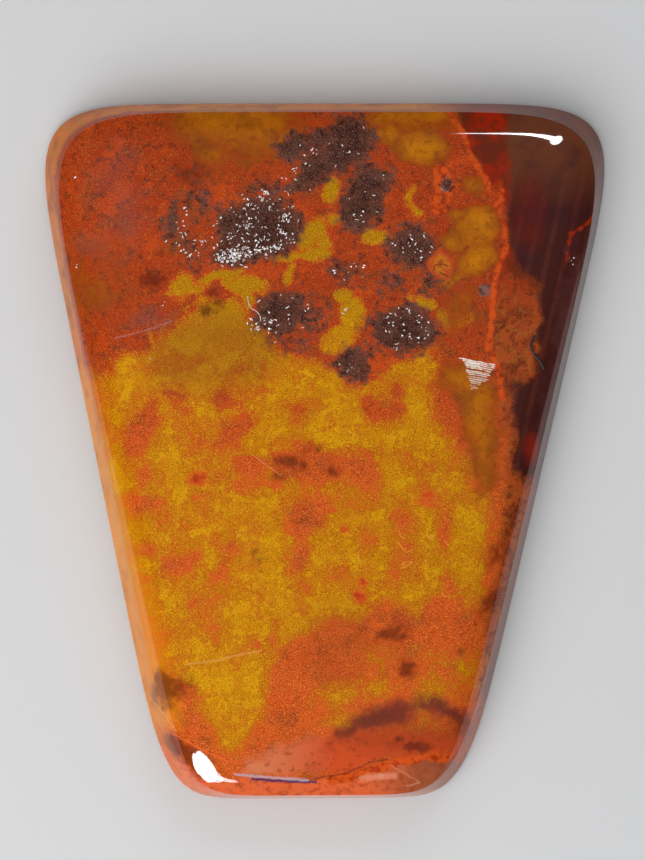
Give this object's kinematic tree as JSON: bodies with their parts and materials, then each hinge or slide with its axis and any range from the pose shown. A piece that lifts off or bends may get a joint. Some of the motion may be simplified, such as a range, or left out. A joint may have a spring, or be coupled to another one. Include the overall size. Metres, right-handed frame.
{
  "type": "agate cabochon",
  "caption": "Polished agate cabochon with a tapered outline, rounded corners, a flat back, a slanted girdle and a low crown.",
  "frame": {"origin": "middle of the outline's box, on the flat back that the stone lies on", "axes": "+Z out of the crown, +Y towards the wide end, +X to the right of a viewer who looks down on the crown with the wide end away from them"},
  "size_m": [0.0288, 0.036, 0.0048],
  "materials": {
    "polished_agate": "high lapidary polish, translucent orange, gold and red agate with dark speckled spots"
  },
  "bodies": {
    "root": {"agate_cabochon": "polished_agate"}
  },
  "joints": []
}
